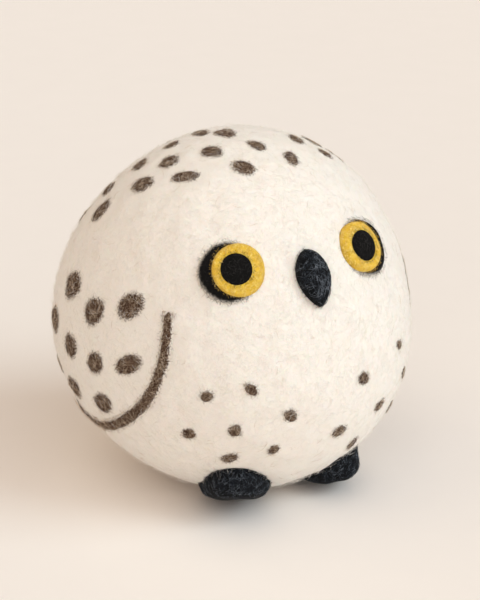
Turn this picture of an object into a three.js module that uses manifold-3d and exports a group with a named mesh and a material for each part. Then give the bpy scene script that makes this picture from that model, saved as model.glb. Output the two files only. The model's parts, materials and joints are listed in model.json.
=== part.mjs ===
// A felted wool dog toy: a soft ball in the shape of a snowy owl.
// Millimetres, +Z up. The owl faces -Y and its right side is on -X.
// The origin is the middle of the flat that the ball stands on.
import * as THREE from 'three';
import { mergeVertices } from 'three/addons/utils/BufferGeometryUtils.js';
import Module from 'manifold-3d';

const wasm = await Module();
wasm.setup();

// Body: the ball's half width, half depth and half height, and how deep its underside is pressed flat
const bodyHalfWidth = 50;
const bodyHalfDepth = 49;
const bodyHalfHeight = 50;
const baseFlatDepth = 0.5;

// Layers: the fleece wrapped round the core, and the mouth where its ends meet underneath
const fleeceThickness = 6;
const mouthRadius = 4;

// Clearance between two pieces that lie on each other, and how far a cutter passes what it cuts
const seatGap = 0.3;
const cutOverrun = 2;

// Feet: two long pads felted to the lower front of the ball, toes up and nearly forwards, pressed flat where
// they stand
const footHalfWidth = 9.8;
const footHalfLength = 16.9;
const footHalfThickness = 8.4;
const footFlatDepth = 0.5;
// How far inside the ball's surface each foot's middle lies, level with it
const rightFootSunk = 7.7;
const leftFootSunk = 7.5;
const rightFootAroundDegrees = -29.2;
const leftFootAroundDegrees = 46;
// How far each is turned outwards, and how far its toes point up
const rightFootTurnDegrees = 24;
const leftFootTurnDegrees = -3;
const rightFootTiltDegrees = 25;
const leftFootTiltDegrees = 10;
// How full the foot's corners are: 0 makes an even egg and 1 a box
const footFullnessShare = 0.23;

// Beak: an almond that is widest above its middle
const beakHalfLength = 7.5;
const beakHalfWidth = 4.45;
const beakHeight = 3.6;
const beakAroundDegrees = 0.6;
const beakUpDegrees = 26.3;
// How far its tip is turned towards the owl's left
const beakTurnDegrees = 5;
const beakWideningShare = 0.16;
// How much its ends are drawn to points: 1 leaves an egg
const beakPointPower = 1.45;

// Eyes: a black roundel, set outwards and down, under a yellow ring with a black dot in it
const rightEyeAroundDegrees = -27;
const rightEyeUpDegrees = 30.6;
const leftEyeAroundDegrees = 24.9;
const leftEyeUpDegrees = 31.4;
const eyeBackingRadius = 7.7;
const eyeBackingOut = 2.2;
const eyeBackingDown = 0.5;
const eyeBackingHeight = 1;
const irisRadius = 6.75;
const irisHeight = 0.7;
const pupilRadius = 4.2;
const pupilHeight = 1;
// The roundel is thicker on its outer side, which turns the eye forwards
const eyeLeanDegrees = 5;

// Wing edge: a felted cord that outlines the front and the lower side of each folded wing
const wingEdgeHalfWidth = 1.45;
const wingEdgeHeight = 1.1;
// How much further back the left wing's edge and spots lie than the right wing's
const leftWingBackDegrees = 12.5;

// Spots: half length and half width on each part of the body, and how far they stand out
const wingSpotHalfLength = 4.1;
const wingSpotHalfWidth = 3;
const crownSpotHalfLength = 3.2;
const crownSpotHalfWidth = 2.3;
const bellySpotHalfLength = 2;
const bellySpotHalfWidth = 1.6;
const spotHeight = 0.9;

// Where hand felting left the ball fuller or flatter than an even ball, as a share of its radius there:
// [to the side, to the back, up, share]. One with a side is on both sides.
const swellShares = [
  [0.88, 0.4, -0.26, 0.05],
  [0.4, -0.6, -0.69, 0.035],
  [0.45, 0.55, 0.66, -0.04],
  [0.88, -0.4, 0.26, -0.06],
  [0, -0.88, 0.47, -0.06],
];
const swellTightness = 5;

// Places of the markings on the body: degrees round from the beak towards the owl's left, and degrees up.
// The two shares are of the spot's half length and half width, and the last value turns it, in degrees.
const rightWingSpotShares = [
  [-94, 14, 1.02, 1.15, 37],
  [-64.5, 15.5, 1.1, 0.97, 41],
  [-79.5, 10, 0.98, 1.07, 53],
  [-104, -1, 1.05, 1.1, 31],
  [-90, -4.5, 0.83, 1.03, 43],
  [-77, -6, 0.8, 0.9, 40],
  [-63, -3, 1.07, 0.8, 32],
  [-93.5, -20, 1.1, 1, 35],
  [-76, -19.5, 0.9, 0.95, 35],
];
const crownSpotShares = [
  [-87, 85.5, 1.12, 1.08, 0],
  [68.5, 71, 0.9, 0.85, 10],
  [-115, 68.5, 0.85, 0.8, 20],
  [0, 77, 0.9, 0.85, 107],
  [-55.5, 73, 0.95, 1, 172],
  [63.5, 61, 0.75, 0.8, 154],
  [22, 67.5, 0.93, 0.8, 55],
  [-85.5, 64, 0.95, 1.1, 6],
  [-111, 57, 1, 0.95, 3],
  [-22.5, 66.5, 0.97, 1, 149],
  [-61.5, 60.5, 1.2, 0.8, 19],
  [-86, 53, 1.1, 1.1, 21],
  [-114.5, 43.5, 1, 0.9, 20],
  [-101, 38.5, 1.15, 1.3, 58],
  [-130, 78, 1, 0.9, 30],
];
const bellySpotShares = [
  [-23, -6.5, 1, 0.8, 132],
  [-36.5, -9, 0.85, 0.9, 34],
  [16, -9.5, 1.05, 1, 146],
  [28, -23, 1.1, 1.05, 164],
  [-10.5, -16.5, 1.1, 0.95, 130],
  [-28, -20.5, 0.95, 1.05, 80],
  [9, -26.5, 1.1, 1.25, 7],
  [-43, -23, 0.93, 1.05, 45],
  [21, -36.3, 1.15, 1.1, 95],
  [-15, -29, 0.85, 0.85, 50],
  [-30, -32, 1.2, 1.1, 36],
  [36.5, -5, 0.95, 0.75, 152],
  [45.5, -18, 1, 0.9, 143],
];

// The right wing edge's middle line, from the top of its front down and round to the back: [around, up]
const rightWingEdgeDegrees = [
  [-50.2, 17],
  [-49.8, 8],
  [-50.6, 0],
  [-53.3, -8],
  [-57.7, -15],
  [-64, -21],
  [-72.5, -26.5],
  [-82, -30.5],
  [-92, -32],
  [-104, -28.5],
];

// Fineness of the faceted surfaces
const coverDetail = 10;
const innerDetail = 6;
const footDetail = 5;
const roundelSteps = 28;
const spotSteps = 12;
const beakSteps = 24;
const wingEdgeSteps = 26;
const mouthSteps = 24;
const surfaceSearchSteps = 30;

const fleeceWhite = new THREE.MeshStandardMaterial({ color: 0xf6efe4, roughness: 1, metalness: 0 });
const coreGrey = new THREE.MeshStandardMaterial({ color: 0xd9cfc0, roughness: 1, metalness: 0 });
const markingBrown = new THREE.MeshStandardMaterial({ color: 0x6b5648, roughness: 1, metalness: 0 });
const slateFelt = new THREE.MeshStandardMaterial({ color: 0x25272d, roughness: 1, metalness: 0 });
const blackFelt = new THREE.MeshStandardMaterial({ color: 0x1d1a18, roughness: 1, metalness: 0 });
const yellowFelt = new THREE.MeshStandardMaterial({ color: 0xecba42, roughness: 1, metalness: 0 });

const RIGHT = -1;
const LEFT = 1;
const UP = new THREE.Vector3(0, 0, 1);

const radians = THREE.MathUtils.degToRad;

const swells = swellShares.flatMap(([side, back, up, share]) => {
  const sides = side === 0 ? [LEFT] : [LEFT, RIGHT];
  return sides.map((s) => ({ toward: new THREE.Vector3(s * side, back, up).normalize(), share }));
});

// The ball's radius in a direction from its middle.
function bodyRadius(direction) {
  const { x, y, z } = direction;
  const even = 1 / Math.hypot(x / bodyHalfWidth, y / bodyHalfDepth, z / bodyHalfHeight);
  let share = 1;
  for (const swell of swells) {
    share += swell.share * Math.exp(swellTightness * (direction.dot(swell.toward) - 1));
  }
  return even * share;
}

const bodyMiddle = UP.clone().multiplyScalar(bodyRadius(UP.clone().negate()) - baseFlatDepth);

// A point at a height above the ball's surface, along a direction from its middle.
function bodyPoint(direction, height) {
  return direction.clone().multiplyScalar(bodyRadius(direction) + height).add(bodyMiddle);
}

function directionOf(aroundDegrees, upDegrees) {
  const around = radians(aroundDegrees);
  const up = radians(upDegrees);
  return new THREE.Vector3(
    Math.sin(around) * Math.cos(up),
    -Math.cos(around) * Math.cos(up),
    Math.sin(up),
  );
}

// A place on the ball: its direction, and two tangents, which a turn rotates from round and up.
function seatAt(aroundDegrees, upDegrees, turnDegrees = 0) {
  const direction = directionOf(aroundDegrees, upDegrees);
  const round = UP.clone().cross(direction).normalize();
  const rise = direction.clone().cross(round);
  const turn = radians(turnDegrees);
  return {
    direction,
    along: round.clone().multiplyScalar(Math.cos(turn)).addScaledVector(rise, Math.sin(turn)),
    across: rise.clone().multiplyScalar(Math.cos(turn)).addScaledVector(round, -Math.sin(turn)),
  };
}

// The direction that lies at lengths u and v along a seat's two tangents.
function directionFrom(seat, u, v) {
  const radius = bodyRadius(seat.direction);
  return seat.direction
    .clone()
    .addScaledVector(seat.along, u / radius)
    .addScaledVector(seat.across, v / radius)
    .normalize();
}

// One closed surface from rings of points, each ring anticlockwise seen from outside the ball.
// The rings run from the underside out over the rim to the top. They close on themselves, or on two end points.
function closedFromRings(rings, ends) {
  const count = rings[0].length;
  const points = rings.flat();
  const index = [];
  const last = ends ? rings.length - 1 : rings.length;
  for (let r = 0; r < last; r++) {
    const next = (r + 1) % rings.length;
    for (let i = 0; i < count; i++) {
      const j = (i + 1) % count;
      const a = r * count + i;
      const b = r * count + j;
      const c = next * count + j;
      const d = next * count + i;
      index.push(a, b, c, a, c, d);
    }
  }
  if (ends) {
    const [first, end] = [points.length, points.length + 1];
    points.push(...ends);
    const top = (rings.length - 1) * count;
    for (let i = 0; i < count; i++) {
      const j = (i + 1) % count;
      index.push(first, j, i, end, top + i, top + j);
    }
  }
  const geometry = new THREE.BufferGeometry().setFromPoints(points);
  geometry.setIndex(index);
  return geometry;
}

// A felt pad on the ball. Its profile lists [share of the outline, height, lean], where a lean of 1 follows
// the seat's slope and 0 follows the ball.
function feltPad(seat, steps, outline, profile, slope = 0) {
  const place = (share, height, lean, angle) => {
    const [u, v] = outline(angle, share);
    return bodyPoint(directionFrom(seat, u, v), height + lean * slope * u);
  };
  const rings = [];
  const ends = [];
  for (const [share, height, lean = 0] of profile) {
    if (share === 0) {
      ends.push(place(0, height, lean, 0));
    } else {
      const ring = [];
      for (let i = 0; i < steps; i++) {
        ring.push(place(share, height, lean, (2 * Math.PI * i) / steps));
      }
      rings.push(ring);
    }
  }
  return closedFromRings(rings, ends.length === 2 ? ends : null);
}

function ellipse(halfLength, halfWidth, middleU = 0, middleV = 0) {
  return (angle, share) => [
    middleU + share * halfLength * Math.cos(angle),
    middleV + share * halfWidth * Math.sin(angle),
  ];
}

// A low pillow profile of a given height, lying on its seat with the seat gap.
function pillow(height) {
  const share = (s) => seatGap + s * height;
  return [
    [0, share(0)],
    [0.88, share(0)],
    [1, share(0.4)],
    [0.8, share(0.82)],
    [0, share(1)],
  ];
}

function spotPad([around, up, lengthShare, widthShare, turn], halfLength, halfWidth) {
  const outline = ellipse(lengthShare * halfLength, widthShare * halfWidth);
  return feltPad(seatAt(around, up, turn), spotSteps, outline, pillow(spotHeight));
}

// The beak's outline is an egg drawn to blunt points, wide end up.
function beakOutline(angle, share) {
  const side = Math.sin(angle);
  const drawnIn = Math.sign(side) * Math.abs(side) ** beakPointPower;
  return [
    share * beakHalfWidth * -drawnIn * (1 + beakWideningShare * Math.cos(angle)),
    share * beakHalfLength * Math.cos(angle),
  ];
}

function beakPad() {
  const at = (s) => seatGap + s * beakHeight;
  const profile = [
    [0, at(0)],
    [0.9, at(0)],
    [1, at(0.22)],
    [0.9, at(0.55)],
    [0.68, at(0.8)],
    [0.36, at(0.96)],
    [0, at(1)],
  ];
  const seat = seatAt(beakAroundDegrees, beakUpDegrees, beakTurnDegrees);
  return feltPad(seat, beakSteps, beakOutline, profile);
}

// The three layers of one eye. They share a seat whose first tangent points away from the beak on the left side.
function eyePads(side) {
  const around = side === LEFT ? leftEyeAroundDegrees : rightEyeAroundDegrees;
  const seat = seatAt(around, side === LEFT ? leftEyeUpDegrees : rightEyeUpDegrees);
  const slope = side * Math.tan(radians(eyeLeanDegrees));
  const backingTop = seatGap + eyeBackingHeight;
  const backing = [
    [0, seatGap],
    [0.92, seatGap],
    [1, seatGap + eyeBackingHeight / 2, 0.5],
    [0.94, backingTop, 1],
    [0, backingTop, 1],
  ];
  const irisFloor = backingTop + seatGap;
  const irisTop = irisFloor + irisHeight;
  const holeShare = (pupilRadius + seatGap) / irisRadius;
  const rimShare = (1 + holeShare) / 2;
  const iris = [
    [holeShare, irisFloor, 1],
    [0.94, irisFloor, 1],
    [1, irisFloor + irisHeight / 2, 1],
    [0.93, irisTop, 1],
    [rimShare, irisTop, 1],
    [holeShare, irisFloor + irisHeight / 2, 1],
  ];
  const pupil = [
    [0, irisFloor, 1],
    [0.92, irisFloor, 1],
    [1, irisFloor + pupilHeight / 3, 1],
    [0.8, irisFloor + (pupilHeight * 2) / 3, 1],
    [0, irisFloor + pupilHeight, 1],
  ];
  const backingOutline = ellipse(
    eyeBackingRadius,
    eyeBackingRadius,
    side * eyeBackingOut,
    -eyeBackingDown,
  );
  return {
    backing: feltPad(seat, roundelSteps, backingOutline, backing, slope),
    iris: feltPad(seat, roundelSteps, ellipse(irisRadius, irisRadius), iris, slope),
    pupil: feltPad(seat, roundelSteps, ellipse(pupilRadius, pupilRadius), pupil, slope),
  };
}

// The degrees round, on one side, of a place that is listed for the right wing.
function wingAround(side, around) {
  return side === LEFT ? leftWingBackDegrees - around : around;
}

// A felted cord along the ball, round-topped, drawn out to a fine tip at both ends.
function wingEdgeStrip(side) {
  const route = rightWingEdgeDegrees.map(([around, up]) => directionOf(wingAround(side, around), up));
  const curve = new THREE.CatmullRomCurve3(route, false, 'centripetal');
  const section = [
    [-0.9, 0],
    [0.9, 0],
    [1, 0.4],
    [0.6, 0.9],
    [-0.6, 0.9],
    [-1, 0.4],
  ];
  const rings = [];
  for (let i = 0; i <= wingEdgeSteps; i++) {
    const t = i / wingEdgeSteps;
    const direction = curve.getPointAt(t).normalize();
    const ahead = curve.getTangentAt(t);
    const sideways = direction.clone().cross(ahead).normalize();
    const taper = 0.35 + 0.65 * Math.sin(Math.PI * (0.12 + 0.76 * t)) ** 0.6;
    const reach = wingEdgeHalfWidth * taper;
    const radius = bodyRadius(direction);
    rings.push(
      section.map(([share, rise]) => {
        const toward = direction.clone().addScaledVector(sideways, (share * reach) / radius).normalize();
        return bodyPoint(toward, seatGap + rise * wingEdgeHeight * taper);
      }),
    );
  }
  const middleOf = (ring) =>
    ring.reduce((sum, p) => sum.add(p), new THREE.Vector3()).divideScalar(ring.length);
  return closedFromRings(rings, [middleOf(rings[0]), middleOf(rings[rings.length - 1])]);
}

function solidOf(geometry) {
  const bare = new THREE.BufferGeometry();
  const flat = geometry.index ? geometry.toNonIndexed() : geometry;
  bare.setAttribute('position', flat.getAttribute('position'));
  const merged = mergeVertices(bare);
  return new wasm.Manifold(
    new wasm.Mesh({
      numProp: 3,
      vertProperties: merged.attributes.position.array,
      triVerts: new Uint32Array(merged.index.array),
    }),
  );
}

function geometryOf(solid) {
  const mesh = solid.getMesh();
  const geometry = new THREE.BufferGeometry();
  geometry.setAttribute('position', new THREE.BufferAttribute(mesh.vertProperties, mesh.numProp));
  geometry.setIndex(new THREE.BufferAttribute(mesh.triVerts, 1));
  return geometry;
}

// The ball's own shape, grown by a height or shrunk by a negative one.
function ballSolid(detail, height) {
  const geometry = new THREE.IcosahedronGeometry(1, detail);
  const position = geometry.getAttribute('position');
  const direction = new THREE.Vector3();
  for (let i = 0; i < position.count; i++) {
    direction.fromBufferAttribute(position, i).normalize();
    const p = bodyPoint(direction, height);
    position.setXYZ(i, p.x, p.y, p.z);
  }
  return solidOf(geometry);
}

// Everything under the surface that the toy stands on.
function underFloor() {
  const size = 3 * bodyHalfWidth;
  const depth = baseFlatDepth + footFlatDepth + cutOverrun;
  return solidOf(new THREE.BoxGeometry(size, size, depth).translate(0, 0, -depth / 2));
}

function mouthCylinder(radius, bottom, top) {
  const geometry = new THREE.CylinderGeometry(radius, radius, top - bottom, mouthSteps);
  return solidOf(geometry.rotateX(Math.PI / 2).translate(0, 0, (top + bottom) / 2));
}

// The length of a vector's parts for a given power: 2 measures it as usual.
function powerLength(parts, power) {
  return parts.reduce((sum, part) => sum + Math.abs(part) ** power, 0) ** (1 / power);
}

// How far the tilted foot reaches down from its middle, which takes the power that pairs with its own.
function footReachDown(tilt, power) {
  const pairedPower = 1 / (1 - 1 / power);
  return powerLength([footHalfLength * Math.sin(tilt), footHalfThickness * Math.cos(tilt)], pairedPower);
}

// How far out from the upright line through its middle the ball's lower half reaches, at a height.
function surfaceOut(aroundDegrees, height) {
  let [low, high] = [-90, 0];
  let found = bodyMiddle;
  for (let i = 0; i < surfaceSearchSteps; i++) {
    const upDegrees = (low + high) / 2;
    found = bodyPoint(directionOf(aroundDegrees, upDegrees), 0);
    if (found.z < height) {
      low = upDegrees;
    } else {
      high = upDegrees;
    }
  }
  return Math.hypot(found.x, found.y);
}

function footSolid(side, body) {
  const power = 2 / (1 - footFullnessShare);
  const geometry = new THREE.IcosahedronGeometry(1, footDetail);
  const position = geometry.getAttribute('position');
  const corner = new THREE.Vector3();
  for (let i = 0; i < position.count; i++) {
    corner.fromBufferAttribute(position, i);
    corner.divideScalar(powerLength(corner.toArray(), power));
    position.setXYZ(i, corner.x, corner.y, corner.z);
  }
  const tilt = radians(side === LEFT ? leftFootTiltDegrees : rightFootTiltDegrees);
  const turn = radians(side === LEFT ? leftFootTurnDegrees : rightFootTurnDegrees);
  const aroundDegrees = side === LEFT ? leftFootAroundDegrees : rightFootAroundDegrees;
  const around = radians(aroundDegrees);
  const height = footReachDown(tilt, power) - footFlatDepth;
  const out = surfaceOut(aroundDegrees, height) - (side === LEFT ? leftFootSunk : rightFootSunk);
  geometry.scale(footHalfWidth, footHalfLength, footHalfThickness);
  geometry.rotateX(-tilt);
  geometry.rotateZ(side * turn);
  geometry.translate(out * Math.sin(around), -out * Math.cos(around), height);
  return solidOf(geometry).subtract(body).subtract(underFloor());
}

const toy = new THREE.Group();

function add(name, geometry, material) {
  geometry.computeVertexNormals();
  const mesh = new THREE.Mesh(geometry, material);
  mesh.name = name;
  toy.add(mesh);
}

// Core, cover and the gather that closes the cover's mouth
const innerTop = 2 * fleeceThickness;
const hollow = ballSolid(innerDetail, -fleeceThickness);
const mouth = mouthCylinder(mouthRadius, -baseFlatDepth - cutOverrun, innerTop);
const cover = ballSolid(coverDetail, 0).subtract(hollow).subtract(mouth).subtract(underFloor());
const gather = mouthCylinder(mouthRadius - seatGap, 0, innerTop).subtract(hollow);
add('wool_core', geometryOf(ballSolid(innerDetail, -fleeceThickness - seatGap)), coreGrey);
add('fleece_cover', geometryOf(cover), fleeceWhite);
add('base_gather', geometryOf(gather), fleeceWhite);

// Feet, cut by the ball that they are felted under
const bodyWithGap = ballSolid(coverDetail, seatGap);
add('right_foot', geometryOf(footSolid(RIGHT, bodyWithGap)), slateFelt);
add('left_foot', geometryOf(footSolid(LEFT, bodyWithGap)), slateFelt);

// Face
add('beak', beakPad(), slateFelt);
for (const [name, side] of [['right', RIGHT], ['left', LEFT]]) {
  const eye = eyePads(side);
  add(`${name}_eye_backing`, eye.backing, blackFelt);
  add(`${name}_eye_iris`, eye.iris, yellowFelt);
  add(`${name}_eye_pupil`, eye.pupil, blackFelt);
}

// Wings
for (const [name, side] of [['right', RIGHT], ['left', LEFT]]) {
  add(`${name}_wing_edge`, wingEdgeStrip(side), markingBrown);
  rightWingSpotShares.forEach(([around, up, lengthShare, widthShare, turn], i) => {
    const place = [wingAround(side, around), up, lengthShare, widthShare, side * -turn];
    add(`${name}_wing_spot_${i + 1}`, spotPad(place, wingSpotHalfLength, wingSpotHalfWidth), markingBrown);
  });
}

// Crown and belly spots
crownSpotShares.forEach((place, i) => {
  add(`crown_spot_${i + 1}`, spotPad(place, crownSpotHalfLength, crownSpotHalfWidth), markingBrown);
});
bellySpotShares.forEach((place, i) => {
  add(`belly_spot_${i + 1}`, spotPad(place, bellySpotHalfLength, bellySpotHalfWidth), markingBrown);
});

export default toy;
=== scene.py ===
import json
from math import cos, pi, radians, sin, tan

import bmesh
import bpy
import numpy as np
from bpy.props import FloatProperty, FloatVectorProperty, IntProperty, PointerProperty
from mathutils import Color, Matrix, Vector
from mathutils.kdtree import KDTree


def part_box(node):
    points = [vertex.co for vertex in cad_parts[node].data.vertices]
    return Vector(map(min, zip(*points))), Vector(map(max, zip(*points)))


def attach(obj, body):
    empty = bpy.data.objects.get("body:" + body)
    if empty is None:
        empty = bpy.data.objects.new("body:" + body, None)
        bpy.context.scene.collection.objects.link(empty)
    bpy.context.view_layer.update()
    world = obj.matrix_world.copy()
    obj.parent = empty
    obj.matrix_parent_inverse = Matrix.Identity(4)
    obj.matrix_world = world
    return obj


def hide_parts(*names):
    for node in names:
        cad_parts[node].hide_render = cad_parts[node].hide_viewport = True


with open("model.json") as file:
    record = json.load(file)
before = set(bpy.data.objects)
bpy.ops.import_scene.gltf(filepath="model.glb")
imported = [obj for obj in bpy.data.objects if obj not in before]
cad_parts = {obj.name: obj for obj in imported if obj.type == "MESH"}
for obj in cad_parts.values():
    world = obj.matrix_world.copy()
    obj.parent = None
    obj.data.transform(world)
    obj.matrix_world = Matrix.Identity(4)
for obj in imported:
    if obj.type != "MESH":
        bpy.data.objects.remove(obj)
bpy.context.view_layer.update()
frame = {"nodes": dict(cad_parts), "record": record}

bl_info = {
    "name": "Felted Owl Ball",
    "version": (1, 0, 0),
    "blender": (4, 5, 0),
    "location": "3D View > Sidebar > Owl Ball",
    "description": "Makes a needle-felted snowy owl ball, piece by piece",
    "category": "Add Mesh",
}

MM = 0.001
RIGHT = -1
LEFT = 1
SIDES = (("right", RIGHT), ("left", LEFT))

# The seeds of the random draws, so that each run makes the same owl. A side's own is one less or one more.
SEEDS = {"lumps": 7, "core": 11, "feet": 21, "beak": 31, "eyes": 41, "wings": 51, "spots": 61, "fuzz": 71}
# The least height above the floor of what stands off the ball
FLOOR_GAP = 0.05 * MM
# Shares of the way along a fibre, at its five points, and its thickness there as a share
ALONG = np.linspace(0, 1, 5)
DRAWN_OUT = np.array([0.0, 0.85, 1.0, 0.8, 0.0])
# How much a fibre wanders between its points, in radians
FIBRE_WANDER = 0.12

# Where hand felting left the ball fuller or flatter than an even ball, as a share of its radius there:
# to the side, to the back, up, share. One with a side is on both sides.
SWELL_SHARES = (
    (0.88, 0.4, -0.26, 0.05),
    (0.4, -0.6, -0.69, 0.035),
    (0.45, 0.55, 0.66, -0.04),
    (0.88, -0.4, 0.26, -0.06),
    (0, -0.88, 0.47, -0.06),
)
SWELL_TIGHTNESS = 5

# The right wing edge's middle line, from the top of its front down and round to the back: degrees round, up
WING_LINE = (
    (-50.2, 17), (-49.8, 8), (-50.6, 0), (-53.3, -8), (-57.7, -15),
    (-64, -21), (-72.5, -26.5), (-82, -30.5), (-92, -32), (-104, -28.5),
)
# How many degrees further back the left wing lies
LEFT_WING_BACK = 13.5

# Each foot's middle in millimetres, how far it is turned round, and how far its toes point up, in degrees
FEET = {
    "right": ((-12.59, -22.5, 10.9), -24, 25),
    "left": ((16.47, -15.9, 8.57), -3, 10),
}

# How much the beak narrows to its points, where 1 makes an even egg, and how much wider its upper end is
BEAK_POINT_POWER = 1.3
BEAK_WIDE_END = 0.16

# Where each lamp shines from: degrees round, up
LAMPS = {"key": (45, 35), "front": (-10, 36), "rim": (-118, 60)}

# Spots on the far side and the back of the head and body, and one low on the left front: degrees round, up,
# half length and half width in millimetres, turn in degrees
BACK_SPOTS = (
    (86, 63, 3.0, 2.4, 170), (112, 57, 3.1, 2.1, 175), (86, 53, 3.4, 2.5, 160), (115, 44, 3.2, 2.1, 160),
    (100, 38, 3.6, 2.8, 125), (150, 66, 3.0, 2.1, 20), (-158, 60, 3.1, 2.2, 170), (180, 47, 3.2, 2.4, 5),
    (148, 41, 3.0, 2.5, 30), (-147, 40, 3.4, 2.2, 150), (-129, 27, 3.8, 2.6, 40), (128, 28, 3.7, 2.7, 140),
    (163, 25, 3.4, 2.4, 10), (-165, 24, 3.3, 2.5, 165), (-143, 9, 3.9, 2.7, 35), (144, 8, 3.8, 2.8, 145),
    (179, 5, 3.5, 2.6, 95), (-129, -9, 3.9, 2.8, 40), (130, -13, 3.7, 2.8, 135), (-158, -12, 3.5, 2.5, 20),
    (-107.5, -17, 3.0, 2.3, 40),
    (157, -13, 3.6, 2.5, 165), (-137, -32, 3.3, 2.5, 30), (138, -31, 3.2, 2.5, 150), (178, -29, 3.4, 2.4, 0),
    (43.5, -30, 2.2, 1.6, 140),
)


def linear(slot):
    """A material slot's colour from the record, as the renderer counts it."""
    for entry in frame["record"]["materials"]:
        if entry["slot"] == slot:
            return tuple(Color(entry["base_color"]).from_srgb_to_scene_linear())
    raise KeyError(slot)


def length(name, description, default):
    return FloatProperty(name=name, description=description, default=default * MM, unit="LENGTH", precision=5)


def number(name, description, default):
    return FloatProperty(name=name, description=description, default=default, precision=3)


def angle(name, description, default):
    return FloatProperty(name=name, description=description, default=radians(default), unit="ROTATION")


def count(name, description, default):
    return IntProperty(name=name, description=description, default=default, min=0)


def colour(name, description, default):
    return FloatVectorProperty(
        name=name, description=description, default=default, size=3, min=0, max=1, subtype="COLOR"
    )


class OwlBallSettings(bpy.types.PropertyGroup):
    half_width: length("Half width", "From the ball's middle to its side", 50)
    half_depth: length("Half depth", "From the ball's middle to its front", 49)
    half_height: length("Half height", "From the ball's middle to its top", 50)
    base_flat: length("Base flat", "How far the underside is pressed flat", 0.5)
    lump: length("Lump height", "How uneven the hand felting left the surface", 0.1)
    fleece_thickness: length("Fleece thickness", "Thickness of the cover over the core", 6)
    mouth_radius: length("Mouth radius", "Radius of the opening under the cover", 4)
    gather_radius: length("Gather radius", "Radius of the plug that closes the mouth", 3.7)
    fleece: colour("Fleece", "Colour of the cover", linear("fleece"))
    core: colour("Core wool", "Colour of the wound core", linear("core_wool"))


class OwlMarkingSettings(bpy.types.PropertyGroup):
    spot_rise: length("Spot rise", "How far a spot's middle stands out of the fleece", 0.4)
    spot_sink: length("Spot sink", "How deep a spot's rim is felted in", 0.25)
    fade: number("Fade", "How far the felted-in rim reaches past the spot's outline, as a share", 1.34)
    wing_half_width: length("Wing edge half width", "Half the width of the wing's edge", 1.55)
    wing_rise: length("Right wing edge rise", "How far the right wing's edge stands out", 0.7)
    left_wing_rise: length("Left wing edge rise", "How far the left wing's edge stands out", 0.25)
    wing_fade: number("Wing edge fade", "How far the wing edge's rim passes its outline, as a share", 1.6)
    brown: colour("Marking brown", "Colour of the spots and wing edges", linear("marking_brown"))
    pale_fibres: count("Pale fibres per spot", "Pale fibres felted across each spot", 82)
    brown_fibres: count("Brown fibres per spot", "Brown fibres that stray off each spot", 150)


class OwlFaceSettings(bpy.types.PropertyGroup):
    beak_half_length: length("Beak half length", "Half the beak's length", 7.5)
    beak_half_width: length("Beak half width", "Half the beak's width", 4.45)
    beak_height: length("Beak height", "How far the beak stands out", 3.9)
    beak_around: angle("Beak around", "How far round from the middle of the face the beak sits", 0.6)
    beak_up: angle("Beak height angle", "How far up the face the beak sits", 26.3)
    beak_turn: angle("Beak turn", "How far the beak's tip is turned towards the owl's left", 5)
    right_eye_around: angle("Right eye around", "How far round the right eye sits", -27)
    right_eye_up: angle("Right eye height", "How far up the face the right eye sits", 30.6)
    left_eye_around: angle("Left eye around", "How far round the left eye sits", 24.9)
    left_eye_up: angle("Left eye height", "How far up the face the left eye sits", 31.4)
    eye_lean: angle("Eye lean", "How far the eye is turned forwards", 5)
    backing_radius: length("Backing radius", "Radius of the black roundel", 7.7)
    backing_out: length("Backing out", "How far the roundel is set outwards", 2.2)
    backing_down: length("Backing down", "How far the roundel is set down", 0.5)
    iris_radius: length("Iris radius", "Radius of the yellow ring", 6.75)
    left_iris_out: length("Left iris out", "How far the left ring is set outwards", 0.45)
    left_iris_narrow: number("Left iris narrowness", "The left ring's width as a share of its height", 0.93)
    pupil_radius: length("Pupil radius", "Radius of the black dot", 4.3)
    right_pupil_out: length("Right pupil out", "How far the right dot is set outwards", 0.35)
    left_pupil_out: length("Left pupil out", "How far the left dot is set outwards", 0.3)
    slate: colour("Slate", "Colour of the beak and feet", linear("slate_felt"))
    black: colour("Black", "Colour of the eye roundels and pupils", linear("black_felt"))
    yellow: colour("Yellow", "Colour of the eye rings", (0.81, 0.52, 0.045))


class OwlFootSettings(bpy.types.PropertyGroup):
    half_width: length("Foot half width", "Half the width of a foot", 9.3)
    half_length: length("Foot half length", "Half the length of a foot", 16.9)
    half_thickness: length("Foot half thickness", "Half the thickness of a foot", 7.8)
    plan_power: number("Plan power", "How full the corners are seen from above: 2 makes an even egg", 2.4)
    side_power: number("Side power", "How full the edges are seen from the side: 2 makes an even egg", 3.5)
    fibres: count("Fibres per foot", "Blue-grey and dark fibres that lie over each foot", 1300)
    stray_fibres: count("Stray fibres per foot", "White fibres that lie over each foot's upper edge", 80)
    fringe_fibres: count("Fringe fibres per foot", "Dark fibres from each foot over the fleece", 420)


class OwlFuzzSettings(bpy.types.PropertyGroup):
    bundles: count("Bundles", "Pieces that the white fuzz is made in", 4)
    fibres: count("Fibres per bundle", "Fibres in each piece of fuzz", 7600)
    thickness: length("Fibre thickness", "Radius of one wool fibre", 0.023)
    tan_fibres: count("Tan fibres", "Undyed tan fibres caught in the fleece", 420)


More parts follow.
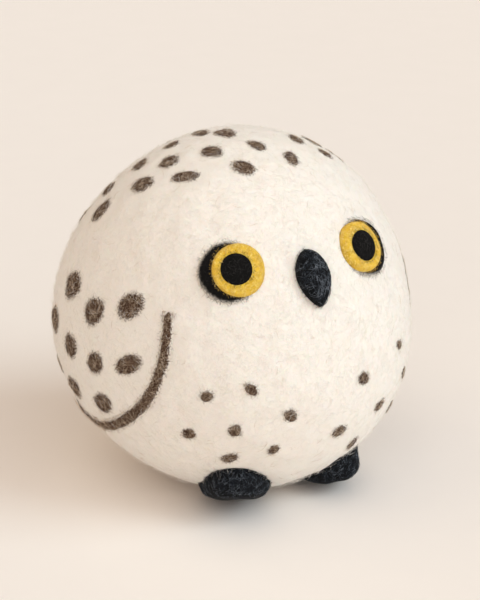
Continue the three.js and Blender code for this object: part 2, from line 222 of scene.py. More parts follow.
class OwlStageSettings(bpy.types.PropertyGroup):
    around: angle("Camera around", "Where the camera stands round the ball", -27.195)
    above: angle("Camera above", "How far above level the camera stands", 20.998)
    distance: length("Camera distance", "From the camera to the point it looks at", 500)
    aim: FloatVectorProperty(
        name="Aim", description="The point that the camera looks at", size=3, unit="LENGTH",
        default=(0.575 * MM, -0.295 * MM, 50.745 * MM),
    )
    lens: number("Lens", "Focal length in millimetres on a 36 mm wide sensor", 135.17)
    floor: colour("Floor", "Colour of the floor", (0.92, 0.866, 0.812))
    backdrop: colour("Backdrop", "Colour behind the floor's far edge", (0.9, 0.812, 0.73))
    room_light: colour("Room light", "Colour of the light from all sides", (0.34, 0.262, 0.215))
    key_light: colour("Key light", "Colour of the lamp on the owl's left", (0.763, 0.916, 1.0))
    key_power: number("Key power", "Strength of the lamp on the owl's left", 1.44)
    key_size: angle("Key size", "How wide the lamp on the owl's left looks from the ball", 35)
    front_light: colour("Front light", "Colour of the wide lamp in front", (0.925, 0.955, 1.0))
    front_power: number("Front power", "Strength of the wide lamp in front", 1.35)
    front_size: angle("Front size", "How wide the lamp in front looks from the ball", 80)
    rim_light: colour("Rim light", "Colour of the lamp behind the owl's right side", (1.0, 0.91, 0.74))
    rim_power: number("Rim power", "Strength of the lamp behind the owl's right side", 0.68)
    rim_size: angle("Rim size", "How wide the lamp behind the owl's right side looks", 60)


SETTINGS = (
    ("owl_ball", OwlBallSettings),
    ("owl_markings", OwlMarkingSettings),
    ("owl_face", OwlFaceSettings),
    ("owl_feet", OwlFootSettings),
    ("owl_fuzz", OwlFuzzSettings),
    ("owl_stage", OwlStageSettings),
)


def unit(v):
    return v / np.linalg.norm(v, axis=-1, keepdims=True)


def draws(piece, side=0):
    """The random draws for a piece, the same in each run. Each side has its own."""
    return np.random.default_rng(SEEDS[piece] + side)


def felt_waves(rng, n, low, high):
    """Waves in random directions that add up to the low lumps of felt, and where each one starts."""
    waves = unit(rng.normal(size=(n, 3))) * rng.uniform(low, high, (n, 1))
    return waves, rng.uniform(0, 2 * pi, n)


def direction_of(around, up):
    """The direction at an angle round from the beak towards the owl's left, and an angle up."""
    return np.array([sin(around) * cos(up), -cos(around) * cos(up), sin(up)])


class BallShape:
    """The ball's surface: an even egg with the swells and low lumps of hand felting."""

    def __init__(self, settings):
        self.halves = np.array([settings.half_width, settings.half_depth, settings.half_height])
        self.lump = settings.lump
        toward = []
        shares = []
        for side, back, up, share in SWELL_SHARES:
            for sign in (LEFT, RIGHT) if side else (LEFT,):
                toward.append((sign * side, back, up))
                shares.append(share)
        self.swell_toward = unit(np.array(toward, dtype=float))
        self.swell_shares = np.array(shares)
        self.waves, self.phases = felt_waves(draws("lumps"), 28, 16, 62)
        down = np.array([0.0, 0.0, -1.0])
        self.middle = np.array([0, 0, self.even_radius(down) - settings.base_flat])

    def even_radius(self, toward):
        even = 1 / np.linalg.norm(toward / self.halves, axis=-1)
        swell = np.exp(SWELL_TIGHTNESS * (toward @ self.swell_toward.T - 1)) @ self.swell_shares
        return even * (1 + swell)

    def lumps(self, toward):
        heights = np.sin(toward @ self.waves.T + self.phases).sum(axis=-1)
        return self.lump * heights / np.sqrt(len(self.phases) / 2)

    def point(self, toward, height=0.0):
        """A point at a height above the surface, in a direction from the ball's middle."""
        reach = self.even_radius(toward) + self.lumps(toward) + height
        points = toward * reach[..., None] + self.middle
        points[..., 2] = np.maximum(points[..., 2], FLOOR_GAP * (np.asarray(height) > 0))
        return points


class Seat:
    """A place on the ball, with two directions along its surface."""

    def __init__(self, ball, toward, turn=0.0):
        self.ball = ball
        self.toward = toward
        round_it = unit(np.cross([0.0, 0.0, 1.0], toward))
        rise = np.cross(toward, round_it)
        turn = np.asarray(turn)[..., None]
        self.along = round_it * np.cos(turn) + rise * np.sin(turn)
        self.across = rise * np.cos(turn) - round_it * np.sin(turn)
        self.radius = ball.even_radius(toward)

    def direction(self, u, v):
        """The direction that lies at lengths u and v along the surface. Many seats take one row each."""
        shape = self.toward.shape[:-1] + (1,) * (np.ndim(u) - self.toward.ndim + 1)
        radius = np.reshape(self.radius, shape)
        parts = [np.reshape(p, shape + (3,)) for p in (self.toward, self.along, self.across)]
        return unit(parts[0] + parts[1] * (u / radius)[..., None] + parts[2] * (v / radius)[..., None])

    def point(self, u, v, height):
        return self.ball.point(self.direction(u, v), height)


def between(values, t):
    """Rows of values read off between the points of a route, at shares of the way along it."""
    at = t * (len(values) - 1)
    return np.stack([np.interp(at, np.arange(len(values)), values[:, k]) for k in range(3)], axis=1)


def mesh_points(obj):
    points = np.empty(3 * len(obj.data.vertices))
    obj.data.vertices.foreach_get("co", points)
    return points.reshape(-1, 3)


def seat_of(ball, node):
    """Where a flat marking lies: its seat, turned along its longer side, and its two half sizes."""
    toward = unit(mesh_points(frame["nodes"][node]) - ball.middle)
    seat = Seat(ball, unit(toward.mean(axis=0)))
    u = (toward @ seat.along) * seat.radius
    v = (toward @ seat.across) * seat.radius
    values, axes = np.linalg.eigh(np.cov(np.stack([u, v])))
    longer = axes[:, np.argmax(values)]
    turned = Seat(ball, seat.toward, np.arctan2(longer[1], longer[0]))
    reach = [np.abs(toward @ a).max() * seat.radius for a in (turned.along, turned.across)]
    return turned, reach[0], reach[1]


# Materials

def place(tree, kind, inputs=None, **settings):
    """One shader node. Each input is a value or another node's output."""
    made = tree.nodes.new(kind)
    for name, value in settings.items():
        setattr(made, name, value)
    for key, value in (inputs or {}).items():
        if isinstance(value, bpy.types.NodeSocket):
            tree.links.new(value, made.inputs[key])
        else:
            made.inputs[key].default_value = value
    return made


def math(tree, operation, a, b=0.0):
    return place(tree, "ShaderNodeMath", {0: a, 1: b}, operation=operation).outputs[0]


def scaled(tree, vector, factor):
    return place(tree, "ShaderNodeVectorMath", {0: vector, "Scale": factor}, operation="SCALE").outputs[0]


def shifted(tree, vector, offset):
    return place(tree, "ShaderNodeVectorMath", {0: vector, 1: offset}, operation="ADD").outputs[0]


def noise(tree, vector, scale, detail=1.0, roughness=0.5):
    inputs = {"Vector": vector, "Scale": scale, "Detail": detail, "Roughness": roughness}
    return place(tree, "ShaderNodeTexNoise", inputs)


def ramp(tree, value, low, high, start=0.0, end=1.0):
    inputs = {"Value": value, "From Min": low, "From Max": high, "To Min": start, "To Max": end}
    return place(tree, "ShaderNodeMapRange", inputs, interpolation_type="SMOOTHSTEP").outputs[0]


def mixed(tree, factor, a, b):
    return place(tree, "ShaderNodeMix", {0: factor, 6: a, 7: b}, data_type="RGBA").outputs[2]


def new_group(name, inputs, outputs):
    """An empty node group with named sockets, and its input and output nodes."""
    tree = bpy.data.node_groups.new(name, "ShaderNodeTree")
    for side, sockets in (("INPUT", inputs), ("OUTPUT", outputs)):
        for socket, kind in sockets:
            tree.interface.new_socket(name=socket, in_out=side, socket_type="NodeSocket" + kind)
    given = tree.nodes.new("NodeGroupInput")
    result = tree.nodes.new("NodeGroupOutput")
    return tree, given.outputs, result.inputs


def fibre_lines_group(name):
    """Thin curly lines, broken into lengths, like single fibres lying in felt."""
    inputs = [("Vector", "Vector"), ("Scale", "Float"), ("Width", "Float")]
    tree, given, result = new_group(name, inputs, [("Lines", "Float")])
    at = scaled(tree, given["Vector"], given["Scale"])
    bend = noise(tree, at, 0.55).outputs["Color"]
    bent = shifted(tree, at, scaled(tree, shifted(tree, bend, (-0.5, -0.5, -0.5)), 1.6))
    level = math(tree, "ABSOLUTE", math(tree, "SUBTRACT", noise(tree, bent, 1.0, 0.0).outputs["Fac"], 0.5))
    lines = ramp(tree, math(tree, "DIVIDE", level, given["Width"]), 0.0, 1.0, 1.0, 0.0)
    lengths = ramp(tree, noise(tree, at, 0.4).outputs["Fac"], 0.4, 0.56)
    tree.links.new(math(tree, "MULTIPLY", lines, lengths), result["Lines"])
    return tree


def felt_group(name):
    """Wool felt: a base colour, deeper mottling, and paler fibres that lie over it."""
    kinds = ("Float", "Float", "Color", "Color", "Color", "Float", "Float")
    inputs = [("Vector", "Vector"), *zip(FELT_INPUTS, kinds)]
    tree, given, result = new_group(name, inputs, [("Color", "Color"), ("Height", "Float")])
    at, scale, width = given["Vector"], given["Scale"], given["Width"]
    over = use_group(tree, "fibre lines", {"Vector": at, "Scale": scale, "Width": width})["Lines"]
    moved = shifted(tree, at, (0.37, 0.21, 0.59))
    finer = math(tree, "MULTIPLY", scale, 1.8)
    under = use_group(tree, "fibre lines", {"Vector": moved, "Scale": finer, "Width": width})["Lines"]
    both = math(tree, "MAXIMUM", over, math(tree, "MULTIPLY", under, 0.7))
    mottle = noise(tree, at, math(tree, "MULTIPLY", scale, 0.3), 3.0, 0.65).outputs["Fac"]
    deep = ramp(tree, mottle, 0.38, 0.66)
    body = mixed(tree, math(tree, "MULTIPLY", deep, given["Deep share"]), given["Base"], given["Deep"])
    pale = mixed(tree, math(tree, "MULTIPLY", both, given["Pale share"]), body, given["Pale"])
    tree.links.new(pale, result["Color"])
    grain = noise(tree, at, math(tree, "MULTIPLY", scale, 1.3), 2.0, 0.6).outputs["Fac"]
    height = math(tree, "ADD", math(tree, "MULTIPLY", both, 0.45), math(tree, "MULTIPLY", grain, 0.55))
    tree.links.new(height, result["Height"])
    return tree


def felted_edge_group(name):
    """Where one wool is felted into another: 1 inside the outline, feathering out past it."""
    inputs = [("Vector", "Vector"), *((key, "Float") for key in ("Scale", "Reach", "Feather", "Crossing"))]
    tree, given, result = new_group(name, inputs, [("Inside", "Float")])
    at = given["Vector"]
    wander = noise(tree, at, given["Scale"], 3.0, 0.7).outputs["Fac"]
    pushed = math(tree, "MULTIPLY", math(tree, "SUBTRACT", wander, 0.5), given["Feather"])
    reach = math(tree, "ADD", given["Reach"], pushed)
    inside = ramp(tree, reach, 1.08, 0.9)
    coarser = math(tree, "MULTIPLY", given["Scale"], 0.5)
    lines = use_group(tree, "fibre lines", {"Vector": at, "Scale": coarser, "Width": 0.06})["Lines"]
    near_edge = ramp(tree, given["Reach"], 0.4, 1.0)
    crossing = math(tree, "MULTIPLY", lines, near_edge)
    kept = math(tree, "SUBTRACT", inside, math(tree, "MULTIPLY", crossing, given["Crossing"]))
    tree.links.new(math(tree, "MAXIMUM", kept, 0.0), result["Inside"])
    return tree


GROUPS = {"fibre lines": fibre_lines_group, "wool felt": felt_group, "felted edge": felted_edge_group}


def use_group(tree, name, inputs):
    """The outputs of a node of a named group, which is built when it is first used."""
    group = bpy.data.node_groups.get(name) or GROUPS[name](name)
    return place(tree, "ShaderNodeGroup", inputs, node_tree=group).outputs


# What the brown wool is dyed darker and lighter towards
WARM_DARK = (0.02, 0.004, 0.0)
TAN = (0.88, 0.7, 0.5)


def opaque(shade):
    return tuple(shade)[:3] + (1.0,)


def tint(base, factor, toward=(1.0, 1.0, 1.0)):
    """A colour moved a share of the way towards another one, black where the share is negative."""
    if factor < 0:
        toward = (0.0, 0.0, 0.0)
    return opaque([b + (t - b) * abs(factor) for b, t in zip(base, toward)])


# What each row of the wools below holds
FELT_INPUTS = ("Scale", "Width", "Base", "Pale", "Deep", "Pale share", "Deep share")


def felts(context):
    """Each wool's colours and shares for the felt group."""
    fleece, core = context.scene.owl_ball.fleece, context.scene.owl_ball.core
    brown = context.scene.owl_markings.brown
    face = context.scene.owl_face
    slate, black = face.slate, face.black
    shadow = tint(fleece, 0.4, (0.66, 0.55, 0.44))
    umber, ink = tint(brown, 0.62, WARM_DARK), tint(brown, 0.88, WARM_DARK)
    blue_grey, grey = opaque((0.05, 0.062, 0.078)), opaque((0.032, 0.03, 0.029))
    straw, ochre = opaque((0.98, 0.78, 0.23)), opaque((0.56, 0.31, 0.02))
    wools = {
        "fleece": (1500.0, 0.065, opaque(fleece), tint(fleece, 0.7), shadow, 0.28, 0.12),
        "core": (400.0, 0.04, opaque(core), tint(core, 0.5), tint(core, -0.3), 0.6, 0.6),
        "brown": (1500.0, 0.075, umber, tint(brown, 0.36, TAN), ink, 0.6, 0.75),
        "slate": (1600.0, 0.06, tint(slate, -0.82), blue_grey, tint(slate, -0.93), 0.7, 0.6),
        "black": (1300.0, 0.05, tint(black, -0.78), grey, tint(black, -0.88), 0.42, 0.5),
        "yellow": (1900.0, 0.09, opaque(face.yellow), straw, ochre, 0.85, 0.75),
    }
    return {wool: dict(zip(FELT_INPUTS, row)) for wool, row in wools.items()}


FINISH = {
    "fleece": {"Sheen Weight": 0.45, "Subsurface Weight": 0.12, "Subsurface Scale": 0.8 * MM},
    "core": {"Sheen Weight": 0.2},
    "brown": {"Sheen Weight": 0.02},
    "slate": {"Sheen Weight": 0.02},
    "black": {"Sheen Weight": 0.0},
    "yellow": {"Sheen Weight": 0.12},
}


def new_material(name, roughness, specular):
    """A new material, its node tree, its shader, and where on the object each point lies."""
    material = bpy.data.materials.new(name)
    material.use_nodes = True
    tree = material.node_tree
    shader = tree.nodes["Principled BSDF"]
    shader.inputs["Roughness"].default_value = roughness
    shader.inputs["Specular IOR Level"].default_value = specular
    return material, tree, shader, tree.nodes.new("ShaderNodeTexCoord").outputs["Object"]


def felt_material(context, inner, outer=None, feather=0.5, crossing=0.0, relief=0.3):
    """Felt of one wool, or of one that feathers out into another at its outline."""
    name = f"{inner} felt" if outer is None else f"{inner} felted into {outer}, {feather:g} soft"
    if name in bpy.data.materials:
        return bpy.data.materials[name]
    material, tree, shader, where = new_material(name, 0.95, 0.15)
    wools = felts(context)
    made = use_group(tree, "wool felt", {"Vector": where, **wools[inner]})
    colour_out, height_out = made["Color"], made["Height"]
    if outer:
        reach = place(tree, "ShaderNodeAttribute", attribute_name="reach").outputs["Fac"]
        edge = {"Vector": where, "Scale": 2400.0, "Reach": reach, "Feather": feather, "Crossing": crossing}
        inside = use_group(tree, "felted edge", edge)["Inside"]
        beyond = use_group(tree, "wool felt", {"Vector": where, **wools[outer]})
        colour_out = mixed(tree, inside, beyond["Color"], colour_out)
    tree.links.new(colour_out, shader.inputs["Base Color"])
    bump = place(tree, "ShaderNodeBump", {"Height": height_out, "Strength": 0.8, "Distance": relief * MM})
    tree.links.new(bump.outputs[0], shader.inputs["Normal"])
    for socket, value in {"Sheen Roughness": 0.5, **FINISH[inner]}.items():
        shader.inputs[socket].default_value = value
    return material


def strand_material(name, base, other, share=0.6, sheen=0.2):
    """Loose fibres, each a little lighter or darker along the ball."""
    if name in bpy.data.materials:
        return bpy.data.materials[name]
    material, tree, shader, where = new_material(name, 0.8, sheen)
    level = ramp(tree, noise(tree, where, 500.0, 2.0).outputs["Fac"], 0.4, 0.62, 0.0, share)
    tree.links.new(mixed(tree, level, opaque(base), opaque(other)), shader.inputs["Base Color"])
    shader.inputs["Sheen Weight"].default_value = sheen
    return material


# Pieces

def add_piece(name, mesh, material, slot):
    obj = bpy.data.objects.new(name, mesh)
    bpy.context.scene.collection.objects.link(obj)
    mesh.materials.clear()
    mesh.materials.append(material)
    mesh.polygons.foreach_set("use_smooth", [True] * len(mesh.polygons))
    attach(obj, "root")
    return obj


def ball_mesh(detail):
    """A bmesh ball of radius 1, and its points."""
    bm = bmesh.new()
    bmesh.ops.create_icosphere(bm, subdivisions=detail, radius=1.0)
    return bm, np.array([v.co for v in bm.verts])


def set_points(bm, points):
    for vertex, point in zip(bm.verts, points):
        vertex.co = point


def set_reach(bm, reach):
    """Notes how far out each point lies, as a share of the outline, for the felt's edge."""
    layer = bm.verts.layers.float.new("reach")
    for vertex, value in zip(bm.verts, reach):
        vertex[layer] = value


def finish_mesh(bm, name):
    mesh = bpy.data.meshes.new(name)
    bm.to_mesh(mesh)
    bm.free()
    return mesh


def add_felted(name, bm, material, slot, node=None):
    """A piece of felt, in place of a node where one is named."""
    piece = add_piece(name, finish_mesh(bm, name), material, slot)
    if node:
        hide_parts(node)


def felt_pad(seat, outline, top, sink, fade, detail, middle=(0.0, 0.0)):
    """A pad felted onto the ball. An outline takes angles and gives lengths u and v. Its top takes shares of
    the outline, and lengths u, and gives heights. The rim reaches past the outline by the fade, for the wools
    to blend."""
    bm, points = ball_mesh(detail)
    share = np.arccos(np.clip(np.abs(points[:, 2]), 0, 1)) / (pi / 2)
    u, v = outline(np.arctan2(points[:, 1], points[:, 0]))
    reach = share * fade
    u, v = u * reach + middle[0], v * reach + middle[1]
    heights = np.where(points[:, 2] >= 0, top(reach, u), -sink * (2 - share))
    set_points(bm, seat.point(u, v, heights))
    set_reach(bm, reach)
    return bm


def uneven(rng, amount):
    """How a hand-felted outline wanders: a share of its reach for each angle."""
    waves = (2, 3, 4, 5)
    sizes = rng.normal(size=len(waves)) * amount
    starts = rng.uniform(0, 2 * pi, len(waves))

    def share(turn):
        return 1 + sum(s * np.cos(k * turn + a) for s, k, a in zip(sizes, waves, starts))

    return share


def arches(rng, n, low, high, span=1.0):
    """How high each fibre arches at its five points. A span under 1 leaves its far end lifted."""
    return rng.uniform(low, high, (n, 1)) * np.sin(pi * ALONG * span)


def strand_paths(seat, u, v, heading, reach, curl, heights, rng):
    """Paths of five points for fibres that lie on the ball, one row each. Heights are at the five points."""
    n, steps = len(reach), len(ALONG) - 1
    turning = heading[:, None] + curl[:, None] * (ALONG[:-1] - 0.5)
    turning = turning + rng.normal(size=(n, steps)) * FIBRE_WANDER
    step = (reach / steps)[:, None]
    start = np.zeros((n, 1))
    du = np.concatenate([start, np.cumsum(np.cos(turning) * step, axis=1)], axis=1)
    dv = np.concatenate([start, np.cumsum(np.sin(turning) * step, axis=1)], axis=1)
    return seat.point(u[:, None] + du, v[:, None] + dv, heights)


def add_strands(name, paths, thickness, material, slot):
    """Fibres as thin closed tubes, drawn out to nothing at both ends, all in one piece."""
    curve = bpy.data.curves.new(name, "CURVE")
    curve.dimensions = "3D"
    curve.bevel_mode = "ROUND"
    curve.bevel_depth = 1.0
    curve.bevel_resolution = 0
    curve.resolution_u = 1
    for path in paths:
        spline = curve.splines.new("POLY")
        spline.points.add(len(path) - 1)
        spline.points.foreach_set("co", np.concatenate([path, np.ones((len(path), 1))], axis=1).ravel())
        spline.points.foreach_set("radius", DRAWN_OUT * thickness)
    holder = bpy.data.objects.new(name + "_path", curve)
    bpy.context.scene.collection.objects.link(holder)
    made = bpy.data.meshes.new_from_object(holder.evaluated_get(bpy.context.evaluated_depsgraph_get()))
    bpy.data.objects.remove(holder)
    bpy.data.curves.remove(curve)
    bm = bmesh.new()
    bm.from_mesh(made)
    bmesh.ops.remove_doubles(bm, verts=bm.verts, dist=1e-7)
    bm.to_mesh(made)
    bm.free()
    made.name = name
    add_piece(name, made, material, slot)


class OwlOperator:
    """What the operators share: the ball's shape and the settings."""
    bl_options = {"REGISTER", "UNDO"}

    def ball(self, context):
        return BallShape(context.scene.owl_ball)


class OWL_OT_core(OwlOperator, bpy.types.Operator):
    """Make the wound wool core that fills the cover"""
    bl_idname = "owl.make_core"
    bl_label = "Core"

    def execute(self, context):
        ball = self.ball(context)
        settings = context.scene.owl_ball
        # Bands of yarn, how wide each is and how close its yarns lie, then how far under the cover the core
        # lies and how much of that a yarn fills, in millimetres
        bands, band_width, closeness = 7, 0.22, 95
        clearance, yarn_height = 0.9, 0.6
        bm, points = ball_mesh(detail=6)
        toward = unit(points)
        rng = draws("core")
        strand = np.zeros(len(toward))
        for axis in unit(rng.normal(size=(bands, 3))):
            latitude = np.arcsin(np.clip(toward @ axis, -1, 1))
            band = np.exp(-((latitude - rng.uniform(-0.5, 0.5)) / band_width) ** 2)
            strand = np.maximum(strand, band * (0.5 + 0.5 * np.cos(latitude * closeness)))
        inward = settings.fleece_thickness + (clearance - yarn_height * strand) * MM
        radius = ball.even_radius(toward) - inward
        set_points(bm, toward * radius[:, None] + ball.middle)
        material = felt_material(context, "core", relief=0.4)
        add_felted("wool_core_wound", bm, material, "core_wool", "wool_core")
        return {"FINISHED"}


class OWL_OT_cover(OwlOperator, bpy.types.Operator):
    """Make the white fleece cover, hollow inside, with its mouth underneath"""
    bl_idname = "owl.make_cover"
    bl_label = "Fleece cover"

    def execute(self, context):
        ball = self.ball(context)
        settings = context.scene.owl_ball
        bm, points = ball_mesh(detail=7)
        set_points(bm, ball.point(unit(points)))
        mouth = settings.mouth_radius
        under = [f for f in bm.faces if f.calc_center_median().z < mouth
                 and f.calc_center_median().xy.length < mouth]
        bmesh.ops.delete(bm, geom=under, context="FACES")
        rim = [e for e in bm.edges if e.is_boundary]
        for vertex in {v for e in rim for v in e.verts}:
            vertex.co.xy = vertex.co.xy.normalized() * mouth
            vertex.co.z = 0
        inner = settings.fleece_thickness
        start = np.arctan2(-(ball.middle[2] - inner), mouth)
        rings, last_ring_up = 18, radians(86)
        for up in np.linspace(start, last_ring_up, rings):
            grown = bmesh.ops.extrude_edge_only(bm, edges=rim)["geom"]
            rim = [e for e in grown if isinstance(e, bmesh.types.BMEdge)]
            for vertex in [v for v in grown if isinstance(v, bmesh.types.BMVert)]:
                around = np.arctan2(vertex.co.y, vertex.co.x)
                toward = np.array([cos(around) * cos(up), sin(around) * cos(up), sin(up)])
                vertex.co = toward * (ball.even_radius(toward) - inner) + ball.middle
        cap = bmesh.ops.contextual_create(bm, geom=rim)["faces"]
        bmesh.ops.poke(bm, faces=cap)
        bmesh.ops.recalc_face_normals(bm, faces=bm.faces)
        material = felt_material(context, "fleece", relief=0.15)
        add_felted("fleece_cover_felted", bm, material, "fleece", "fleece_cover")
        return {"FINISHED"}


class OWL_OT_gather(OwlOperator, bpy.types.Operator):
    """Make the plug of fleece that is drawn together and felted shut underneath"""
    bl_idname = "owl.make_gather"
    bl_label = "Gather"

    def execute(self, context):
        settings = context.scene.owl_ball
        # How many creases, how far they twist and how wide the pucker in the middle is, then how far the
        # underside is drawn up at the least, in a crease and in the pucker, in millimetres
        creases, twist, pucker_width = 9, 2.2, 0.25
        least, crease_height, pucker_height = 0.08, 0.35, 0.7
        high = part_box("base_gather")[1].z
        bm, points = ball_mesh(detail=5)
        share = np.minimum(1, np.hypot(points[:, 0], points[:, 1]) * 1.12)
        turn = np.arctan2(points[:, 1], points[:, 0])
        crease = (0.5 + 0.5 * np.cos(creases * turn + twist * share)) * np.clip(4 * share * (1 - share), 0, 1)
        pucker = np.exp(-(share / pucker_width) ** 2)
        low = (least + crease_height * crease + pucker_height * pucker) * MM
        level = np.clip(0.5 + 0.62 * points[:, 2], 0, 1)
        z = low + (high - low) * level
        radius = settings.gather_radius * share
        points = np.stack([radius * np.cos(turn), radius * np.sin(turn), z], axis=1)
        set_points(bm, points)
        material = felt_material(context, "fleece")
        add_felted("base_gather_felted", bm, material, "fleece", "base_gather")
        return {"FINISHED"}


class OWL_OT_feet(OwlOperator, bpy.types.Operator):
    """Make the two slate felt feet, their own fibres and the white ones over their upper edge"""
    bl_idname = "owl.make_feet"
    bl_label = "Feet"

    def execute(self, context):
        foot = context.scene.owl_feet
        ball = self.ball(context)
        material = felt_material(context, "slate", relief=0.25)
        for side_name, side in SIDES:
            rng = draws("feet", side)
            middle, turn, tilt = FEET[side_name]
            bm, points = ball_mesh(detail=6)
            level = (np.abs(points[:, :2]) ** foot.plan_power).sum(axis=1) ** (1 / foot.plan_power)
            upright = np.abs(points[:, 2])
            size = (level ** foot.side_power + upright ** foot.side_power) ** (1 / foot.side_power)
            points = points / size[:, None]
            points = points * (foot.half_width, foot.half_length, foot.half_thickness)
            waves, phases = felt_waves(rng, 16, 400, 1300)
            lumps = np.sin(points @ waves.T + phases).sum(axis=1) * 0.06 * MM
            points = points + unit(points) * lumps[:, None]
            turned = Matrix.Rotation(radians(turn), 3, "Z") @ Matrix.Rotation(-radians(tilt), 3, "X")
            points = points @ np.array(turned).T + np.array(middle) * MM
            points[:, 2] = np.maximum(points[:, 2], 0)
            toward = unit(points - ball.middle)
            radius = np.linalg.norm(points - ball.middle, axis=1)
            sunk = ball.even_radius(toward) + ball.lumps(toward) - 0.3 * MM
            points = ball.middle + toward * np.maximum(radius, sunk)[:, None]
            set_points(bm, points)
            bm.normal_update()
            normals = np.array([v.normal for v in bm.verts])
            node = f"{side_name}_foot"
            add_felted(node + "_felted", bm, material, "slate_felt", node)
            self.add_fibres(context, ball, node, points, normals, radius - sunk, rng)
        return {"FINISHED"}

    def add_fibres(self, context, ball, node, points, normals, clear, rng):
        """Blue-grey and dark fibres that lie over the foot, and white and dark ones that cross its upper
        edge. Each point of the foot is clear of the ball by a length."""
        foot = context.scene.owl_feet
        blue_share, off_ball = 0.3, 0.12 * MM
        tree = KDTree(len(points))
        for i, point in enumerate(points):
            tree.insert(point, i)
        tree.balance()

        def lie(i, heading, reach, curl, lift, start=0.0):
            """A fibre over the foot or the ball, whichever is further out."""
            bend = np.cross(normals[i], heading)
            line = points[i] + np.outer((ALONG - start) * reach, heading)
            line = line + np.outer(curl * ALONG * ALONG, bend)
            nearest = [tree.find(point)[1] for point in line]
            line = points[nearest] + normals[nearest] * lift[:, None]
            toward = unit(line - ball.middle)
            out = np.maximum(np.linalg.norm(line - ball.middle, axis=1), ball.even_radius(toward) + off_ball)
            line = ball.middle + toward * out[:, None]
            line[:, 2] = np.maximum(line[:, 2], FLOOR_GAP)
            return line

        shown = (normals[:, 2] > -0.6) & (points[:, 2] > 0.4 * MM)
        paths = []
        for i in rng.choice(np.flatnonzero(shown & (clear > 0.9 * MM)), foot.fibres):
            heading = unit(np.cross(normals[i], rng.normal(size=3)))
            lift = 0.02 * MM + rng.uniform(0.03, 0.3) * MM * np.sin(pi * ALONG * rng.uniform(0.6, 1.0))
            paths.append(lie(i, heading, rng.uniform(0.9, 2.8) * MM, rng.normal() * 0.5 * MM, lift))
        blue, dark = slate_strands()
        split = int(foot.fibres * blue_share)
        add_strands(node + "_fibres_blue", np.array(paths[:split]), 0.027 * MM, blue, "slate_felt")
        add_strands(node + "_fibres_dark", np.array(paths[split:]), 0.025 * MM, dark, "slate_felt")
        rim = np.flatnonzero(shown & (np.abs(clear - 0.5 * MM) < 0.4 * MM))
        white = marking_strands(context)[1]
        for part, n, reaches, height, thickness, strands, slot in (
            ("stray", foot.stray_fibres, (0.8, 4.2), 0.3, 0.013, white, "fleece"),
            ("fringe", foot.fringe_fibres, (0.5, 2.2), 0.45, 0.02, dark, "slate_felt"),
        ):
            paths = []
            for i in rng.choice(rim, n):
                up = points[i] - ball.middle
                aside = rng.normal(size=3) * np.abs(up[2])
                heading = unit(np.cross(np.cross(normals[i], up), normals[i]) + aside)
                lift = 0.05 * MM + rng.uniform(0.05, height) * MM * np.sin(pi * ALONG)
                start = rng.uniform(0.2, 0.8)
                reach = rng.uniform(*reaches) * MM
                curl = rng.normal() * 0.9 * MM
                paths.append(lie(i, heading, reach, curl, lift, start))
            add_strands(f"{node}_{part}_fibres", np.array(paths), thickness * MM, strands, slot)


def slate_strands():
    """The blue-grey and the dark fibres of the slate wool."""
    blue = strand_material("slate blue strands", (0.22, 0.25, 0.29), (0.028, 0.036, 0.048), 0.95, 0.06)
    dark = strand_material("slate dark strands", (0.006, 0.007, 0.009), (0.018, 0.021, 0.028), 0.6, 0.02)
    return blue, dark


def beak_outline(face, around):
    """An egg drawn to blunt points, wide end up: lengths to the side and up for each angle."""
    def outline(turn):
        across, up = np.sin(turn), np.cos(turn)
        drawn_in = np.sign(across) * np.abs(across) ** BEAK_POINT_POWER
        share = around(turn)
        side = -face.beak_half_width * drawn_in * (1 + BEAK_WIDE_END * up) * share
        return side, face.beak_half_length * up * share

    return outline


class OWL_OT_beak(OwlOperator, bpy.types.Operator):
    """Make the slate almond beak and its lengthwise fibres"""
    bl_idname = "owl.make_beak"
    bl_label = "Beak"

    def execute(self, context):
        face = context.scene.owl_face
        seat = Seat(self.ball(context), direction_of(face.beak_around, face.beak_up), face.beak_turn)
        rng = draws("beak")
        outline = beak_outline(face, uneven(rng, 0.008))
        height = face.beak_height

        def top(reach, _):
            return height * np.clip(1 - reach ** 2.4, 0, 1) ** 0.45

        bm = felt_pad(seat, outline, top, sink=0.3 * MM, fade=1.0, detail=6)
        material = felt_material(context, "slate", relief=0.25)
        add_felted("beak_felted", bm, material, "slate_felt", "beak")
        blue, dark = slate_strands()
        for part, n, spread, reaches, span, thickness, strands in (
            ("blue", 330, 0.7, (0.8, 2.6), (0.0, 0.94), 0.028, blue),
            ("dark", 560, 0.9, (0.6, 1.9), (0.4, 1.12), 0.024, dark),
        ):
            turn = rng.uniform(0, 2 * pi, n)
            share = np.sqrt(rng.uniform(*span, n))
            u, v = outline(turn)
            reach = rng.uniform(*reaches, (n, 1)) * MM
            heading = pi / 2 + rng.normal(size=(n, 1)) * spread
            from_middle = ALONG - 0.5
            bent = heading + rng.normal(size=(n, 1)) * 0.8 * from_middle
            line_u = (u * share)[:, None] + np.cos(bent) * reach * from_middle
            line_v = (v * share)[:, None] + np.sin(bent) * reach * from_middle
            bearing = np.arctan2(-line_u / face.beak_half_width, line_v / face.beak_half_length)
            inside = np.hypot(line_u, line_v) / np.maximum(np.hypot(*outline(bearing)), 1e-9)
            lift = arches(rng, n, 0.04, 0.3) * MM
            paths = seat.point(line_u, line_v, top(inside, line_u) + 0.02 * MM + lift)
            add_strands("beak_fibres_" + part, paths, thickness * MM, strands, "slate_felt")
        return {"FINISHED"}


